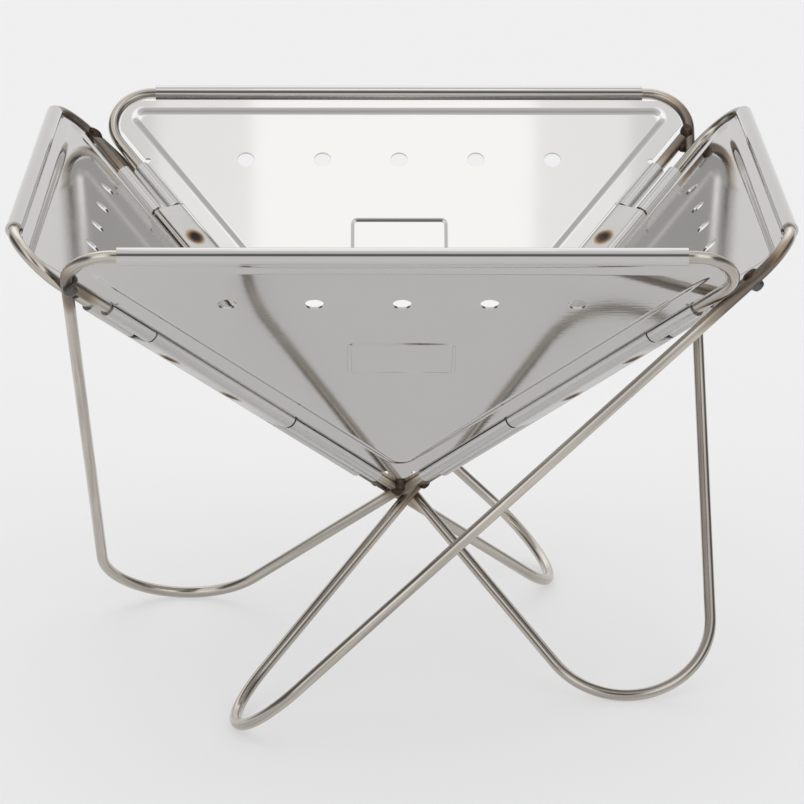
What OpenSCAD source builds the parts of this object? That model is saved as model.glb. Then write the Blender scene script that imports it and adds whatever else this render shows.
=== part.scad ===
// Folding fire pit: four steel panels hinged into an inverted pyramid,
// each hung on a bent wire that is its top rail, leg and foot.
// Frame: Z up, origin on the ground under the apex, front panel towards -Y.

/* [Bowl] */
// Overall width over two opposite top rails
top_w = 455; // [300:1:600]
// Slope of each panel, degrees from level
slope = 43.5; // [38:0.5:50]

/* [Wire frames] */
// Rod diameter
rod_d = 7; // [5:0.5:9]
// Bend radius where the rail turns down into the leg
leg_bend_r = 28; // [20:1:30]
// Bend radius where the rail turns into the hinge edge
edge_bend_r = 25; // [18:1:26]
// Stand-in of the leg from the corner where the rail line meets the hinge edge line
leg_inset = 21.1; // [16:0.1:30]
// Radius of the foot bend
foot_r = 53; // [35:1:65]

/* [Sheets] */
// Sheet thickness
sheet_t = 1.5; // [1:0.1:2]
// Radial gap between a rolled hem or sleeve and its rod
hem_fit = 0.1; // [0.05:0.01:0.2]
// Stand-back of the rolled rail hem from the bends at the rail's ends
rail_hem_gap = 2; // [1:0.5:60]
// Stand-back of the free sheet edges from the rod centre lines
edge_cut = 6.4; // [6:0.1:10]
// Width of the seam where a rolled hem closes on the sheet
hem_seam = 0.6; // [0.3:0.1:1]
// Diameter of the relief notch at the end of a side hem
notch_d = 4; // [2:0.5:6]

/* [Pressed shapes] */
// Flat margin between the edge rods and the raised field
field_inset = 18.5; // [14:0.5:30]
// Flat margin between the rail and the raised field
field_top = 14; // [12:0.5:24]
// Corner radius of the raised field
field_r = 6; // [4:1:20]
// Tip radius of the raised field
field_tip_r = 9; // [4:1:20]
// Height of the raised field
field_step = 1.2; // [0.6:0.1:1.4]
// Width of the plain name-plate panel
plate_w = 64; // [30:1:90]
// Height of the plain name-plate panel
plate_h = 38; // [20:1:60]
// Slant distance from the rail to the middle of the name-plate panel
plate_v = 116; // [90:1:150]
// Height of the name-plate panel over the field
plate_step = 0.8; // [0.4:0.1:1]

/* [Air holes] */
// Number of air holes in a row
hole_n = 5; // [1:1:7]
// Diameter of an air hole
hole_d = 11; // [6:0.5:16]
// Spacing of the air holes
hole_pitch = 50; // [30:1:60]
// Slant distance from the rail to the row of air holes
hole_v = 52; // [40:1:70]

/* [Hinges] */
// Spacing of the two rods in a hinge strap
strap_pitch = 16; // [14:0.5:20]
// Stand-back of the upper side hem from the leg, measured down the edge
side_hem_gap = 37; // [30:0.5:50]
// Length of the upper side hem
upper_hem_l = 38.8; // [20:0.2:60]
// Length of a hinge strap
strap_l = 132; // [90:1:160]
// Stand-back of the lower side hem from the tip of the panel
tip_gap = 25.5; // [20:0.5:40]
// Gap between a hinge strap and the hems above and below it
strap_gap = 1.2; // [0.6:0.1:3]
// Core diameter of a spot weld
spot_core_d = 5; // [3:0.2:5.4]
// Outer diameter of a spot weld's crown
spot_d = 9; // [6:0.5:12]
// Height of a spot weld's crown
spot_h = 0.35; // [0.2:0.05:0.8]
// Diameter of a weld bead
bead_d = 9; // [8:0.5:12]
// Height of the weld bead in the leg's crook, kept under the rods' tops
bead_h = 6.4; // [5:0.2:6.8]
// Height of the weld bead over the tip
tip_bead_h = 8.4; // [7.4:0.2:10]
// Stand-out of the crook bead from the place where the two rods touch
bead_throat = 1.7; // [1:0.1:3]

/* [Hidden] */
$fn = 48;
eps = 0.01;
rod_r = rod_d / 2;
bore_r = rod_r + hem_fit;
hem_r = bore_r + sheet_t;
hem_d = 2 * hem_r;

// The wire is drawn down slightly in its bends, and the straight runs reach into a bend
join_step = 0.03;
join_l = 0.6;
weld_gap = 0.04;

// Pyramid: rail centre line to the axis, apex half angle, tilt of a strap from a panel
rail_r = top_w / 2 - hem_r;
apex_a = atan(cos(slope));
strap_tilt = acos(pow(cos(slope), 2)) / 2;

// Edge rods run beside the ideal fold line, half a strap away on each panel
rod_off = strap_pitch / 2 / cos(strap_tilt);
edge_u = rail_r - rod_off / cos(apex_a);
tip_s = edge_u / sin(apex_a);

// Wire: the leg, start of the edge run, centre of the foot bend, end of the edge run
leg_u = edge_u - leg_inset;
edge_s0 = edge_bend_r * tan((90 + apex_a) / 2);
foot_x = -leg_u + foot_r;
foot_y = (foot_x - edge_u + foot_r / cos(apex_a)) / tan(apex_a);
edge_s1 = (edge_u - foot_x) * sin(apex_a) - foot_y * cos(apex_a);
rail_x0 = -leg_u + leg_bend_r;
rail_x1 = edge_u - edge_s0;
rail_z = (foot_r - foot_y) * sin(slope) + rod_r - join_step;
leg_join_s = leg_inset / sin(apex_a);
crook_l = rod_r / sin(apex_a / 2) + bead_throat;

// Sheet: corner radius that follows the bend, and the hems beside the strap
sheet_corner_r = edge_bend_r - edge_cut;
sheet_tip_r = 6;
hem_overlap = 1.5;
notch_bite = 0.6;
notch_y = hem_r + notch_d / 2 + 0.4;
rail_hem = [rail_x0 + rail_hem_gap, rail_x1 - rail_hem_gap];
side_hem_s0 = leg_join_s + side_hem_gap;
upper_hem = [side_hem_s0, side_hem_s0 + upper_hem_l];
strap_s0 = upper_hem[1] + strap_gap;
strap_s1 = strap_s0 + strap_l;
lower_hem = [strap_s1 + strap_gap, tip_s - tip_gap];

// Spot welds along a strap, and the open strap's lip and its sleeve on the next panel
spot_s = [strap_s0 + 0.22 * strap_l, strap_s0 + 0.66 * strap_l];
lip_gap = 0.3;
lip_t = hem_r - rod_r - lip_gap;
lip_reach = 1.5;
lip_cut = 2;
sleeve_from = -42;
sleeve_to = 150;

steel = "#b9b8b4";
rod_steel = "#a8a39b";
weld_dark = "#4a4038";

// Panel frame of a side: X right and Y up the slope seen from outside, Z outward
module on_side(turn) {
    rotate([0, 0, 90 * turn])
        translate([0, -rail_r, rail_z])
            rotate([180 - slope, 0, 0])
                children();
}

// Edge frame in a panel: X down the right edge from the rail line, Y away from the panel
module right_edge() {
    translate([edge_u, 0, 0])
        rotate([0, 0, -90 - apex_a])
            children();
}

module left_edge() {
    mirror([1, 0, 0])
        right_edge()
            children();
}

// Strap frame in an edge frame: Y towards the next panel's rod, Z outward
module strap_frame() {
    right_edge()
        rotate([-strap_tilt, 0, 0])
            children();
}

module bar_x(x0, x1, r) {
    translate([x0, 0, 0])
        rotate([0, 90, 0])
            cylinder(h = x1 - x0, r = r);
}

module rod_bend(bend_r, from, sweep, grow) {
    rotate([0, 0, from])
        rotate_extrude(angle = sweep)
            translate([bend_r, 0])
                circle(r = rod_r - join_step + grow);
}

// Triangle set in from the edge rods and the rail, its corner circles a hair proud of its sides
module rounded_panel(inset, top, top_r, tip_r) {
    top_y = -top - top_r;
    top_u = edge_u - (inset + top_r) / cos(apex_a) + top_y * tan(apex_a);
    tip_y = -(edge_u - (inset + tip_r) / cos(apex_a)) / tan(apex_a);
    across = [cos(apex_a), -sin(apex_a)];
    polygon([
        [-top_u, -top],
        [top_u, -top],
        [top_u + top_r * across.x, top_y + top_r * across.y],
        [tip_r * across.x, tip_y + tip_r * across.y],
        [-tip_r * across.x, tip_y + tip_r * across.y],
        [-top_u - top_r * across.x, top_y + top_r * across.y]
    ]);
    for (side = [-1, 1])
        translate([side * top_u, top_y])
            circle(r = top_r + join_step);
    translate([0, tip_y])
        circle(r = tip_r + join_step);
}

// One rolled hem along X: tube and web to the sheet
module hem(x0, x1) {
    bar_x(x0, x1, hem_r);
    translate([x0, -edge_cut - hem_overlap, -sheet_t / 2])
        cube([x1 - x0, edge_cut + hem_overlap, sheet_t]);
}

// Bore of a hem and its seam, on the outer face for seam_side 1 and the inner for -1
module hem_cut(x0, x1, seam_side) {
    bar_x(x0 - eps, x1 + eps, bore_r);
    seam_z = seam_side > 0 ? sheet_t / 2 : -sheet_t / 2 - hem_seam;
    translate([x0 - eps, -hem_r - eps, seam_z])
        cube([x1 - x0 + 2 * eps, 2 * sheet_t, hem_seam]);
}

module plate_block(grow, z0, h) {
    translate([-plate_w / 2 - grow, -plate_v - plate_h / 2 - grow, z0])
        cube([plate_w + 2 * grow, plate_h + 2 * grow, h]);
}

module flat_sheet() {
    difference() {
        translate([0, 0, -sheet_t / 2])
            linear_extrude(height = sheet_t)
                rounded_panel(edge_cut, edge_cut, sheet_corner_r, sheet_tip_r);
        translate([0, 0, -sheet_t])
            linear_extrude(height = 2 * sheet_t)
                rounded_panel(field_inset, field_top, field_r, field_tip_r);
    }
    translate([0, 0, field_step - sheet_t / 2])
        linear_extrude(height = sheet_t)
            rounded_panel(
                field_inset - sheet_t,
                field_top - sheet_t,
                field_r + sheet_t,
                field_tip_r + sheet_t
            );
    plate_block(sheet_t, field_step, sheet_t / 2 + plate_step);
    hem(rail_hem[0], rail_hem[1]);
    for (run = [upper_hem, lower_hem]) {
        right_edge() hem(run[0], run[1]);
        left_edge() hem(run[0], run[1]);
    }
}

module sheet_cuts() {
    hem_cut(rail_hem[0], rail_hem[1], -1);
    for (run = [upper_hem, lower_hem]) {
        right_edge() hem_cut(run[0], run[1], 1);
        left_edge() hem_cut(run[0], run[1], 1);
    }
    plate_block(0, field_step - sheet_t / 2 - eps, plate_step + eps);
    for (i = [0 : hole_n - 1])
        translate([(i - (hole_n - 1) / 2) * hole_pitch, -hole_v, -hem_r])
            cylinder(h = 2 * hem_r, d = hole_d);
    right_edge() end_notches();
    left_edge() end_notches();
}

// Relief notches just past the two ends of a hemmed side edge
module end_notches() {
    run_on = notch_d / 2 - notch_bite;
    for (s = [upper_hem[0] - run_on, lower_hem[1] + run_on])
        translate([s, -notch_y, -hem_r])
            cylinder(h = 2 * hem_r, d = notch_d);
}

module panel_sheet() {
    color(steel)
        difference() {
            flat_sheet();
            sheet_cuts();
        }
}

// One closed wire: rail, leg, foot, and the straight edge run back to the rail
module wire_shape(grow = 0) {
    wire_r = rod_r + grow;
    bar_x(rail_x0 - join_l, rail_x1 + join_l, wire_r);
    translate([rail_x0, -leg_bend_r, 0])
        rod_bend(leg_bend_r, 90, 90, grow);
    translate([-leg_u, foot_y - join_l, 0])
        rotate([-90, 0, 0])
            cylinder(h = 2 * join_l - leg_bend_r - foot_y, r = wire_r);
    translate([foot_x, foot_y, 0])
        rod_bend(foot_r, 180, 180 - apex_a, grow);
    right_edge() bar_x(edge_s0 - join_l, edge_s1 + join_l, wire_r);
    translate([rail_x1, -edge_bend_r, 0])
        rod_bend(edge_bend_r, -apex_a, 90 + apex_a, grow);
}

module panel_wire() {
    color(rod_steel) wire_shape();
}

module side_rod_shape() {
    difference() {
        left_edge() bar_x(leg_join_s + hem_fit, tip_s - hem_fit, rod_r);
        wire_shape(weld_gap);
    }
}

module panel_side_rod() {
    color(rod_steel) side_rod_shape();
}

// Beads in the crook under the leg corner and in the crook over the tip
module panel_welds() {
    crook = apex_a / 2;
    crook_y = -leg_join_s * cos(apex_a) - crook_l * cos(crook);
    color(weld_dark)
        difference() {
            union() {
                translate([-leg_u + crook_l * sin(crook), crook_y, -bead_h / 2])
                    cylinder(h = bead_h, d = bead_d);
                translate([0, -tip_s * cos(apex_a) + bead_d / 2 + 1, -tip_bead_h / 2])
                    cylinder(h = tip_bead_h, d = bead_d);
            }
            wire_shape(weld_gap);
            left_edge() bar_x(leg_join_s, tip_s, rod_r + weld_gap);
        }
}

// Folded strap round both rods of a corner, hollow between them
module closed_strap() {
    color(steel)
        difference() {
            union() {
                for (y = [0, strap_pitch])
                    translate([0, y, 0])
                        bar_x(strap_s0, strap_s1, hem_r);
                translate([strap_s0, 0, -hem_r])
                    cube([strap_l, strap_pitch, hem_d]);
            }
            for (y = [0, strap_pitch])
                translate([0, y, 0])
                    bar_x(strap_s0 - eps, strap_s1 + eps, bore_r);
            translate([strap_s0 - eps, hem_r, -bore_r])
                cube([strap_l + 2 * eps, strap_pitch - hem_d, 2 * bore_r]);
            for (s = spot_s)
                translate([s, strap_pitch / 2, -hem_d])
                    cylinder(h = 2 * hem_d, d = spot_core_d);
        }
}

module closed_strap_spots() {
    color(weld_dark)
        for (s = spot_s)
            translate([s, strap_pitch / 2, 0]) {
                translate([0, 0, -hem_r])
                    cylinder(h = hem_d, d = spot_core_d);
                for (z = [-hem_r - spot_h, hem_r])
                    translate([0, 0, z])
                        cylinder(h = spot_h, d = spot_d);
            }
}

// Strap of the open corner: sleeve on its own rod, inner lip over the next rod
module open_strap() {
    color(steel)
        difference() {
            union() {
                bar_x(strap_s0, strap_s1, hem_r);
                translate([strap_s0, 0, -hem_r])
                    cube([strap_l - lip_cut, strap_pitch + lip_reach, lip_t]);
            }
            bar_x(strap_s0 - eps, strap_s1 + eps, bore_r);
            for (s = spot_s)
                translate([s, strap_pitch / 2, -hem_d])
                    cylinder(h = hem_d, d = spot_core_d);
        }
}

module open_strap_spots() {
    color(weld_dark)
        for (s = spot_s)
            translate([s, strap_pitch / 2, -hem_r]) {
                cylinder(h = lip_t, d = spot_core_d);
                translate([0, 0, -spot_h])
                    cylinder(h = spot_h, d = spot_d);
            }
}

// The open corner's other half: a part sleeve that stays on the left panel's rod
module part_sleeve() {
    far = 3 * hem_r;
    color(steel)
        translate([strap_s0, strap_pitch, 0])
            rotate([90, 0, 90])
                linear_extrude(height = strap_l)
                    intersection() {
                        difference() {
                            circle(r = hem_r);
                            circle(r = bore_r);
                        }
                        polygon(concat(
                            [[0, 0]],
                            [for (t = [sleeve_from, 0, 40, 80, 115, sleeve_to]) far * [cos(t), sin(t)]]
                        ));
                    }
}

module front_sheet() { on_side(0) panel_sheet(); }
module front_wire_frame() { on_side(0) panel_wire(); }
module front_side_rod() { on_side(0) panel_side_rod(); }
module front_weld_beads() { on_side(0) panel_welds(); }
module right_sheet() { on_side(1) panel_sheet(); }
module right_wire_frame() { on_side(1) panel_wire(); }
module right_side_rod() { on_side(1) panel_side_rod(); }
module right_weld_beads() { on_side(1) panel_welds(); }
module back_sheet() { on_side(2) panel_sheet(); }
module back_wire_frame() { on_side(2) panel_wire(); }
module back_side_rod() { on_side(2) panel_side_rod(); }
module back_weld_beads() { on_side(2) panel_welds(); }
module left_sheet() { on_side(3) panel_sheet(); }
module left_wire_frame() { on_side(3) panel_wire(); }
module left_side_rod() { on_side(3) panel_side_rod(); }
module left_weld_beads() { on_side(3) panel_welds(); }
module front_right_hinge_strap() { on_side(0) strap_frame() closed_strap(); }
module front_right_spot_welds() { on_side(0) strap_frame() closed_strap_spots(); }
module back_right_hinge_strap() { on_side(1) strap_frame() closed_strap(); }
module back_right_spot_welds() { on_side(1) strap_frame() closed_strap_spots(); }
module back_left_hinge_strap() { on_side(2) strap_frame() open_strap(); }
module back_left_spot_welds() { on_side(2) strap_frame() open_strap_spots(); }
module front_left_hinge_strap() { on_side(3) strap_frame() closed_strap(); }
module front_left_spot_welds() { on_side(3) strap_frame() closed_strap_spots(); }
module left_strap_sleeve() { on_side(2) strap_frame() part_sleeve(); }

front_sheet();
front_wire_frame();
front_side_rod();
front_weld_beads();
right_sheet();
right_wire_frame();
right_side_rod();
right_weld_beads();
back_sheet();
back_wire_frame();
back_side_rod();
back_weld_beads();
left_sheet();
left_wire_frame();
left_side_rod();
left_weld_beads();
front_right_hinge_strap();
front_right_spot_welds();
back_right_hinge_strap();
back_right_spot_welds();
back_left_hinge_strap();
back_left_spot_welds();
front_left_hinge_strap();
front_left_spot_welds();
left_strap_sleeve();
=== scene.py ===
"""Folding fire pit of stainless steel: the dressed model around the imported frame."""

import logging
import math
from dataclasses import dataclass
from enum import Enum
from typing import Callable, Sequence, Union

import bmesh
import bpy
from mathutils import Matrix, Vector, noise


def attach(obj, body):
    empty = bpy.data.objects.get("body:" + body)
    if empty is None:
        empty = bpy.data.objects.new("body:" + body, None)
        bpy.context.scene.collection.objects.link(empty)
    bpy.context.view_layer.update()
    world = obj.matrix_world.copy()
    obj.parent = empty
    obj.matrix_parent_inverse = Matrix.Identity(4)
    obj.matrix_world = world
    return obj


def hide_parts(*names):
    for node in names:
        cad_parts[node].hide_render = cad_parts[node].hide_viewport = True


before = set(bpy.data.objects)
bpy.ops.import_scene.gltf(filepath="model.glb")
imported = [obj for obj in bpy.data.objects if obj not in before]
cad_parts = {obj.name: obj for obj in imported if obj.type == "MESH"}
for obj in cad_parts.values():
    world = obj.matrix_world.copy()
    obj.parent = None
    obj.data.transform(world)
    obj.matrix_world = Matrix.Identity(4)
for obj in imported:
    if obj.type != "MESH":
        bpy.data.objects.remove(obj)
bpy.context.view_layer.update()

LOG = logging.getLogger("fire_pit")
MM = 0.001
QUARTER = math.pi / 2
SHARP_ANGLE = math.radians(38)
SAME_LEVEL = 1e-7
HEAT = "weld_heat"
ROD_LAY = "rod_lay"


class Named(Enum):
    """A choice whose name goes into the names of nodes and bodies."""

    @property
    def label(self) -> str:
        """The name in small letters."""
        return self.name.lower()


class Side(Named):
    """The four panels, counted round the axis from the front."""

    FRONT = 0
    RIGHT = 1
    BACK = 2
    LEFT = 3


class Corner(Named):
    """The four hinged corners; each is counted with the panel whose right edge it is."""

    FRONT_RIGHT = 0
    BACK_RIGHT = 1
    BACK_LEFT = 2
    FRONT_LEFT = 3


@dataclass(frozen=True)
class Bowl:
    """Driving sizes of the pit and the frames that its pieces are built in, in metres."""

    top_w: float = 455 * MM
    slope: float = math.radians(43.5)
    rod_r: float = 3.5 * MM
    leg_bend_r: float = 28 * MM
    edge_bend_r: float = 25 * MM
    leg_inset: float = 21.1 * MM
    foot_r: float = 53 * MM
    sheet_t: float = 1.5 * MM
    hem_fit: float = 0.1 * MM
    bend_thin: float = 0.03 * MM
    strap_pitch: float = 16 * MM
    rail_hem_gap: float = 2 * MM
    side_hem_gap: float = 37 * MM
    upper_hem_l: float = 38.8 * MM
    strap_l: float = 132 * MM
    tip_gap: float = 25.5 * MM
    strap_gap: float = 1.2 * MM
    bead_throat: float = 1.7 * MM
    tip_bead_up: float = 5.5 * MM

    @property
    def hem_r(self) -> float:
        """Outer radius of a rolled hem or strap sleeve."""
        return self.rod_r + self.hem_fit + self.sheet_t

    @property
    def rail_r(self) -> float:
        """Distance of a rail's centre line from the axis."""
        return self.top_w / 2 - self.hem_r

    @property
    def apex_a(self) -> float:
        """Half the angle at a panel's tip."""
        return math.atan(math.cos(self.slope))

    @property
    def strap_tilt(self) -> float:
        """Tilt of a hinge strap from its panel."""
        return math.acos(math.cos(self.slope) ** 2) / 2

    @property
    def edge_u(self) -> float:
        """Where an edge rod's line meets the rail's line, from the panel's middle."""
        rod_off = self.strap_pitch / 2 / math.cos(self.strap_tilt)
        return self.rail_r - rod_off / math.cos(self.apex_a)

    @property
    def leg_u(self) -> float:
        """Distance of the leg from the panel's middle line."""
        return self.edge_u - self.leg_inset

    @property
    def rail_x(self) -> tuple:
        """Left and right end of the rail's straight run."""
        return self.leg_bend_r - self.leg_u, self.edge_u - self.edge_s0

    @property
    def rail_hem(self) -> tuple:
        """Left and right end of the rail's hem."""
        return self.rail_x[0] + self.rail_hem_gap, self.rail_x[1] - self.rail_hem_gap

    @property
    def upper_hem(self) -> tuple:
        """Start and end of the upper side hem, down the edge."""
        start = self.leg_join_s + self.side_hem_gap
        return start, start + self.upper_hem_l

    @property
    def strap_s0(self) -> float:
        """Start of a hinge strap, down the edge."""
        return self.upper_hem[1] + self.strap_gap

    @property
    def strap_s1(self) -> float:
        """End of a hinge strap, down the edge."""
        return self.strap_s0 + self.strap_l

    @property
    def lower_hem(self) -> tuple:
        """Start and end of the lower side hem, down the edge."""
        return self.strap_s1 + self.strap_gap, self.tip_s - self.tip_gap

    @property
    def tip_s(self) -> float:
        """Length of an edge from the rail's line to the tip."""
        return self.edge_u / math.sin(self.apex_a)

    @property
    def edge_s0(self) -> float:
        """Start of the straight edge run under the rail's bend."""
        return self.edge_bend_r * math.tan((QUARTER + self.apex_a) / 2)

    @property
    def foot_c(self) -> Vector:
        """Centre of the foot bend in the panel frame."""
        x = -self.leg_u + self.foot_r
        y = (x - self.edge_u + self.foot_r / math.cos(self.apex_a)) / math.tan(self.apex_a)
        return Vector((x, y, 0))

    @property
    def edge_s1(self) -> float:
        """End of the straight edge run at the foot bend."""
        foot = self.foot_c
        return (self.edge_u - foot.x) * math.sin(self.apex_a) - foot.y * math.cos(self.apex_a)

    @property
    def rail_z(self) -> float:
        """Height of the rail's centre line over the ground."""
        return (self.foot_r - self.foot_c.y) * math.sin(self.slope) + self.rod_r - self.bend_thin

    @property
    def leg_join_s(self) -> float:
        """Where the left edge line meets the leg."""
        return self.leg_inset / math.sin(self.apex_a)

    def on_side(self, turn: int) -> Matrix:
        """Panel frame: X right and Y up the slope seen from outside, Z outward.

        Args:
            turn: Quarter turns round the axis from the front.

        Returns:
            The matrix from the panel frame to the row frame.
        """
        quarter = Matrix.Rotation(turn * QUARTER, 4, "Z")
        lift = Matrix.Translation((0, -self.rail_r, self.rail_z))
        return quarter @ lift @ Matrix.Rotation(math.pi - self.slope, 4, "X")

    def right_edge(self) -> Matrix:
        """Edge frame in a panel: X down the right edge, Y away from the panel."""
        return Matrix.Translation((self.edge_u, 0, 0)) @ Matrix.Rotation(-QUARTER - self.apex_a, 4, "Z")

    def left_edge(self) -> Matrix:
        """The right edge's frame mirrored to the left edge."""
        return Matrix.Scale(-1, 4, (1, 0, 0)) @ self.right_edge()

    def strap(self, turn: int) -> Matrix:
        """Strap frame: X down the edge, Y to the next panel's rod, Z outward.

        Args:
            turn: Number of the corner, which is that of the panel on its near side.

        Returns:
            The matrix from the strap frame to the row frame.
        """
        return self.on_side(turn) @ self.right_edge() @ Matrix.Rotation(-self.strap_tilt, 4, "X")

    def weld_points(self) -> list[Vector]:
        """Finds the places that welding has heated.

        Returns:
            The leg's crook and the tip, in the panel frame.
        """
        crook = self.apex_a / 2
        reach = self.rod_r / math.sin(crook) + self.bead_throat
        join_y = -self.leg_join_s * math.cos(self.apex_a)
        return [
            Vector((-self.leg_u + reach * math.sin(crook), join_y - reach * math.cos(crook), 0)),
            Vector((0, -self.tip_s * math.cos(self.apex_a) + self.tip_bead_up, 0)),
        ]


class Value:
    """A shader socket that takes part in Python arithmetic."""

    def __init__(self, maker: "NodeMaker", socket: bpy.types.NodeSocket) -> None:
        """Wraps a socket.

        Args:
            maker: The node maker that the expression's nodes go to.
            socket: The output socket.
        """
        self.maker = maker
        self.socket = socket

    def _math(self, operation: str, *values: Union["Value", float], clamp: bool = False) -> "Value":
        """Adds one Math node."""
        settings = {"operation": operation, "use_clamp": clamp}
        return self.maker.node("ShaderNodeMath", settings, dict(enumerate(values)))

    def __add__(self, other: Union["Value", float]) -> "Value":
        """Sum."""
        return self._math("ADD", self, other)

    __radd__ = __add__

    def __sub__(self, other: Union["Value", float]) -> "Value":
        """Difference."""
        return self._math("SUBTRACT", self, other)

    def __rsub__(self, other: float) -> "Value":
        """Difference from a number."""
        return self._math("SUBTRACT", other, self)

    def __mul__(self, other: Union["Value", float]) -> "Value":
        """Product."""
        return self._math("MULTIPLY", self, other)

    __rmul__ = __mul__

    def clamped(self) -> "Value":
        """The value held between 0 and 1."""
        return self._math("ADD", self, 0.0, clamp=True)


class NodeMaker:
    """Makes the nodes of one material or world."""

    def __init__(self, tree: bpy.types.NodeTree) -> None:
        """Starts from an emptied node tree.

        Args:
            tree: The tree to fill.
        """
        self.tree = tree
        tree.nodes.clear()

    def node(self, kind: str, settings: dict, inputs: dict, output: Union[int, str] = 0) -> Value:
        """Adds any node.

        Args:
            kind: The node's type.
            settings: Properties set first; a list of stops goes to a colour ramp.
            inputs: Values or links by socket name or number.
            output: The output socket to return.

        Returns:
            The chosen output, wrapped.
        """
        made = self.tree.nodes.new(kind)
        for name, setting in settings.items():
            if name == "stops":
                self._stops(made.color_ramp, setting)
            else:
                setattr(made, name, setting)
        for name, value in inputs.items():
            if isinstance(value, Value):
                self.tree.links.new(value.socket, made.inputs[name])
            else:
                made.inputs[name].default_value = value
        return Value(self, made.outputs[output])

    @staticmethod
    def _stops(ramp: bpy.types.ColorRamp, stops: Sequence[tuple]) -> None:
        """Sets the stops of a ramp.

        Args:
            ramp: The ramp, with its two stops.
            stops: A place and a colour each.
        """
        while len(ramp.elements) < len(stops):
            ramp.elements.new(0.5)
        for element, (place, colour) in zip(ramp.elements, stops):
            element.position = place
            element.color = (*colour, 1)

    def show(self, shader: Value, kind: str = "ShaderNodeOutputMaterial") -> None:
        """Links a shader to the tree's output."""
        output = self.tree.nodes.new(kind)
        self.tree.links.new(shader.socket, output.inputs["Surface"])

    def place(self, stretch: tuple = (1, 1, 1)) -> Value:
        """Object coordinates, stretched by a Mapping node."""
        where = self.node("ShaderNodeTexCoord", {}, {}, "Object")
        return self.node("ShaderNodeMapping", {}, {"Vector": where, "Scale": stretch})

    def noise(self, scale: float, detail: float = 3.0, stretch: tuple = (1, 1, 1)) -> Value:
        """Noise on object coordinates, from 0 to 1."""
        inputs = {"Vector": self.place(stretch), "Scale": scale, "Detail": detail}
        return self.node("ShaderNodeTexNoise", {}, inputs, 0)

    def streaks(self, scale: float, detail: float, waver: float = 9.0) -> Value:
        """Noise that is drawn out along a rod, from 0 to 1.

        Args:
            scale: The noise's scale round the rod.
            detail: The noise's detail.
            waver: How fast it changes along the rod, per metre.

        Returns:
            The noise.
        """
        lay = self.node("ShaderNodeAttribute", {"attribute_name": ROD_LAY}, {}, "Vector")
        inputs = {0: lay, 1: (1.0, 1.0, 1.0), 2: self.place((waver, waver, waver))}
        drift = self.node("ShaderNodeVectorMath", {"operation": "MULTIPLY_ADD"}, inputs)
        return self.node("ShaderNodeTexNoise", {}, {"Vector": drift, "Scale": scale, "Detail": detail}, 0)

    def attribute(self, name: str) -> Value:
        """A number stored on the mesh."""
        return self.node("ShaderNodeAttribute", {"attribute_name": name}, {}, "Fac")

    def ramp(self, value: Value, stops: Sequence[tuple]) -> Value:
        """A colour ramp."""
        return self.node("ShaderNodeValToRGB", {"stops": stops}, {0: value})

    def mix(self, share: Value, first: Union[Value, tuple], second: Union[Value, tuple]) -> Value:
        """Mixes two colours by a share."""
        return self.node("ShaderNodeMix", {"data_type": "RGBA"}, {0: share, 6: first, 7: second}, 2)


@dataclass(frozen=True)
class SteelFinish:
    """A bare steel with rolling grain, smudges and the temper colours of welding.

    Heat turns the steel straw, then brown, then the black of its scale. A noise's scale is per metre, but a
    streak's is per radius of the rod.
    """

    name: str
    steel: tuple
    straw: tuple
    brown: tuple
    scale: tuple
    roughness: float
    smudge: float
    grain: float
    grain_stretch: tuple = (1, 1, 1)
    warm_stain: float = 0.0
    streaks: float = 0.0
    temper_stops: tuple = (0.0, 0.18, 0.42, 0.7, 1.0)
    mottle_scale: float = 90.0
    mottle_share: float = 0.6
    cloud_scale: float = 11.0
    cloud_spread: float = 0.24
    cloud_least: float = 0.88
    cloud_dim: float = 0.86
    stain_scale: float = 26.0
    smear_scale: float = 34.0
    streak_scale: float = 1.6
    streak_from: float = 0.32
    streak_dim: float = 0.44
    streak_smear: float = 2.6
    heat_roughness: float = 0.3
    grain_scale: float = 700.0
    grain_depth: float = 0.2 * MM

    def make(self) -> bpy.types.Material:
        """Builds the material.

        Returns:
            The material.
        """
        material = bpy.data.materials.new(self.name)
        material.use_nodes = True
        maker = NodeMaker(material.node_tree)
        heat = maker.attribute(HEAT)
        mottle = maker.noise(self.mottle_scale, 4.0)
        heated = (heat + (mottle - 0.5) * self.mottle_share * heat).clamped()
        tones = (self.steel, self.steel, self.straw, self.brown, self.scale)
        temper = maker.ramp(heated, list(zip(self.temper_stops, tones)))
        shade = (maker.noise(self.cloud_scale) * self.cloud_spread + self.cloud_least).clamped()
        shaded = maker.mix(shade, self._dimmed(self.cloud_dim), temper)
        stain = (maker.noise(self.stain_scale, 4.0, self.grain_stretch) * self.warm_stain).clamped()
        colour = maker.mix(stain, shaded, (*self.straw, 1))
        if self.streaks > 0:
            drawn = maker.streaks(self.streak_scale, 3.0) * self.streaks
            share = (drawn - self.streak_from * self.streaks).clamped()
            colour = maker.mix(share, colour, self._dimmed(self.streak_dim))
            smear = maker.streaks(self.streak_smear, 2.0)
        else:
            smear = maker.noise(self.smear_scale, 5.0, self.grain_stretch)
        roughness = (self.roughness + self.smudge * (smear - 0.5) + self.heat_roughness * heated).clamped()
        lines = maker.noise(self.grain_scale, 2.0, self.grain_stretch)
        relief = {"Strength": self.grain, "Distance": self.grain_depth, "Height": lines}
        bump = maker.node("ShaderNodeBump", {}, relief)
        surface = {"Base Color": colour, "Metallic": 1.0, "Roughness": roughness, "Normal": bump}
        maker.show(maker.node("ShaderNodeBsdfPrincipled", {}, surface))
        return material

    def _dimmed(self, share: float) -> tuple:
        """The bare steel's colour times a share, with its alpha."""
        return tuple(share * c for c in self.steel) + (1,)


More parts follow.
